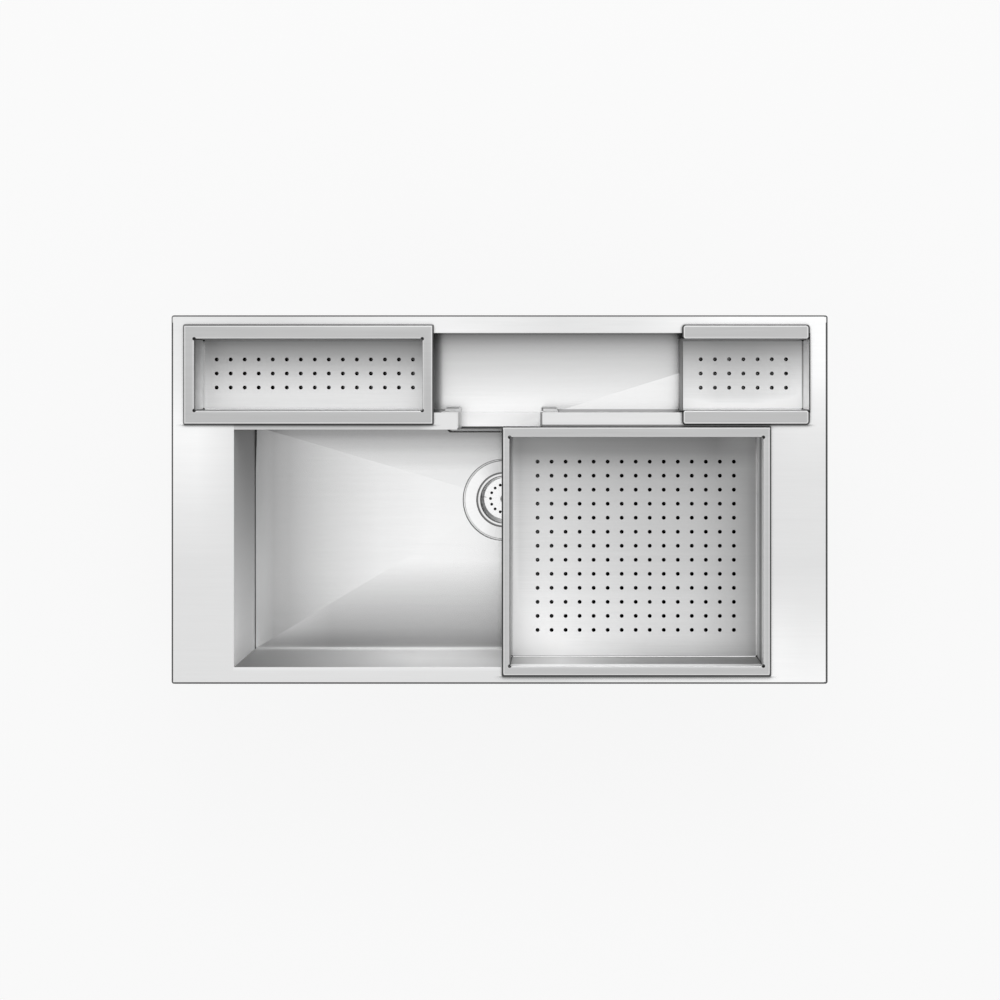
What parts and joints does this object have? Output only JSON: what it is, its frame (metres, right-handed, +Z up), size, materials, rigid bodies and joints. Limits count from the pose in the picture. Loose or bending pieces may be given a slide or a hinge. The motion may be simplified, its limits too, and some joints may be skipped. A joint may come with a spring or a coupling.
{
  "type": "kitchen sink",
  "caption": "Inset steel kitchen sink with a square bowl, a rear channel that spills into it, lift-out basket strainer and perforated trays that slide along the deck.",
  "frame": {"origin": "middle of the deck in plan, at the height of the worktop surface that the sink drops into", "axes": "+X to the right along the sink, +Y to the wall behind it, +Z up"},
  "size_m": [0.89, 0.5, 0.3318],
  "materials": {
    "deck_steel": "satin brushed along X",
    "bowl_steel": "satin brushed",
    "channel_steel": "satin brushed",
    "tray_steel": "satin brushed",
    "strainer_steel": "fine polish",
    "fixing_steel": "zinc plated",
    "seal_rubber": "soft matt",
    "waste_plastic": "moulded",
    "nut_plastic": "moulded",
    "sound_pad": "bituminous felt"
  },
  "bodies": {
    "root": {"deck_plate": "deck_steel", "worktop_seal": "seal_rubber", "bowl_left_wall": "bowl_steel", "bowl_right_wall": "bowl_steel", "bowl_front_wall": "bowl_steel", "bowl_back_wall": "bowl_steel", "bowl_floor": "bowl_steel", "channel_walls": "channel_steel", "channel_floor": "channel_steel", "spillway_liner": "channel_steel", "overflow_cover": "channel_steel", "overflow_gasket": "seal_rubber", "overflow_housing": "waste_plastic", "overflow_screws": "fixing_steel", "overflow_pipe": "waste_plastic", "strainer_cup": "strainer_steel", "strainer_top_seal": "seal_rubber", "strainer_under_seal": "seal_rubber", "strainer_ring_nut": "nut_plastic", "outlet_washer": "seal_rubber", "outlet_body": "waste_plastic", "outlet_union_nut": "nut_plastic", "sound_pad_left": "sound_pad", "sound_pad_right": "sound_pad", "sound_pad_front": "sound_pad", "fixing_studs": "fixing_steel", "fixing_nuts": "fixing_steel"},
    "basket": {"basket_cup": "strainer_steel", "basket_stopper": "seal_rubber", "basket_knob": "strainer_steel"},
    "large_tray": {"large_tray_frame": "tray_steel", "large_tray_base": "tray_steel"},
    "long_tray": {"long_tray_frame": "tray_steel", "long_tray_base": "tray_steel"},
    "short_tray": {"short_tray_frame": "tray_steel", "short_tray_base": "tray_steel"},
    "claw_1_body": {"claw_1": "fixing_steel"},
    "claw_2_body": {"claw_2": "fixing_steel"},
    "claw_3_body": {"claw_3": "fixing_steel"},
    "claw_4_body": {"claw_4": "fixing_steel"},
    "claw_5_body": {"claw_5": "fixing_steel"},
    "claw_6_body": {"claw_6": "fixing_steel"},
    "claw_7_body": {"claw_7": "fixing_steel"},
    "claw_8_body": {"claw_8": "fixing_steel"}
  },
  "joints": [
    {"name": "large_tray_slide", "type": "slide", "parent": "root", "child": "large_tray", "axis": [1, 0, 0], "range_m": [-0.37, 0]},
    {"name": "long_tray_slide", "type": "slide", "parent": "root", "child": "long_tray", "axis": [1, 0, 0], "range_m": [0, 0.33]},
    {"name": "short_tray_lift", "type": "slide", "parent": "root", "child": "short_tray", "axis": [0, 0, 1], "range_m": [0, 0.11]},
    {"name": "basket_lift", "type": "slide", "parent": "root", "child": "basket", "axis": [0, 0, 1], "range_m": [0, 0.08]},
    {"name": "claw_1_swivel", "type": "hinge", "parent": "root", "child": "claw_1_body", "pos_m": [-0.3, -0.2345, -0.0455], "axis": [0, 0, 1], "range_deg": [0, 90]},
    {"name": "claw_2_swivel", "type": "hinge", "parent": "root", "child": "claw_2_body", "pos_m": [0, -0.2345, -0.0455], "axis": [0, 0, 1], "range_deg": [0, 90]},
    {"name": "claw_3_swivel", "type": "hinge", "parent": "root", "child": "claw_3_body", "pos_m": [0.3, -0.2345, -0.0455], "axis": [0, 0, 1], "range_deg": [0, 90]},
    {"name": "claw_4_swivel", "type": "hinge", "parent": "root", "child": "claw_4_body", "pos_m": [-0.3, 0.2345, -0.0455], "axis": [0, 0, 1], "range_deg": [0, 90]},
    {"name": "claw_5_swivel", "type": "hinge", "parent": "root", "child": "claw_5_body", "pos_m": [0, 0.2345, -0.0455], "axis": [0, 0, 1], "range_deg": [0, 90]},
    {"name": "claw_6_swivel", "type": "hinge", "parent": "root", "child": "claw_6_body", "pos_m": [0.3, 0.2345, -0.0455], "axis": [0, 0, 1], "range_deg": [0, 90]},
    {"name": "claw_7_swivel", "type": "hinge", "parent": "root", "child": "claw_7_body", "pos_m": [-0.4295, -0.066, -0.0455], "axis": [0, 0, 1], "range_deg": [0, 90]},
    {"name": "claw_8_swivel", "type": "hinge", "parent": "root", "child": "claw_8_body", "pos_m": [0.4295, -0.066, -0.0455], "axis": [0, 0, 1], "range_deg": [0, 90]}
  ]
}
